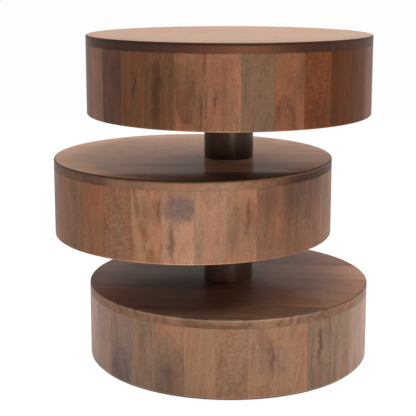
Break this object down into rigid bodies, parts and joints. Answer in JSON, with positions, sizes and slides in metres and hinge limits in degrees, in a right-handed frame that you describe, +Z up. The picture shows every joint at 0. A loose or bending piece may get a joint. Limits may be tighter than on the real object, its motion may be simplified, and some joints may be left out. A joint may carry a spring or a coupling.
{
  "type": "tiered side table",
  "caption": "Round wooden side table of stacked drum-shaped tiers on a column, with a middle tier that swivels off-centre.",
  "frame": {"origin": "on the column's axis at floor level, in the plane of the felt ring's underside", "axes": "+Z up along the column; -Y is the front, +X to the right seen from the front"},
  "size_m": [0.5193, 0.484, 0.531],
  "materials": {
    "panel_wood": "semi-gloss lacquer",
    "stave_wood": "semi-gloss lacquer",
    "post_wood": "semi-gloss lacquer",
    "floor_wood": "stained, matt lacquer",
    "inner_wood": "sanded, unlacquered",
    "steel": "turned",
    "zinc": "zinc plated",
    "nylon": "as moulded",
    "felt": "pressed felt"
  },
  "bodies": {
    "base": {"bottom_tier_top_panel": "panel_wood", "bottom_tier_stave_wall": "stave_wood", "bottom_tier_floor_panel": "floor_wood", "bottom_tier_hub_block": "inner_wood", "bottom_tier_cleats": "inner_wood", "bottom_tier_floor_screws": "zinc", "top_tier_top_panel": "panel_wood", "top_tier_stave_wall": "stave_wood", "top_tier_floor_panel": "floor_wood", "top_tier_hub_block": "inner_wood", "top_tier_cleats": "inner_wood", "top_tier_floor_screws": "zinc", "felt_ring": "felt", "lower_post": "post_wood", "upper_post": "post_wood", "column_tube": "steel", "column_flange": "steel", "column_plug": "steel", "column_flange_screws": "zinc", "clamp_plate": "steel", "clamp_bolt": "zinc", "spacer_sleeve": "steel", "lower_thrust_washer": "steel", "upper_thrust_washer": "steel"},
    "middle_tier": {"middle_tier_top_panel": "panel_wood", "middle_tier_stave_wall": "stave_wood", "middle_tier_floor_panel": "floor_wood", "middle_tier_hub_block": "inner_wood", "middle_tier_cleats": "inner_wood", "middle_tier_floor_screws": "zinc", "lower_swivel_bush": "nylon", "upper_swivel_bush": "nylon"}
  },
  "joints": [
    {"name": "middle_tier_swivel", "type": "hinge", "parent": "base", "child": "middle_tier", "pos_m": [0, 0, 0.2655], "axis": [0, 0, 1], "continuous": true}
  ]
}
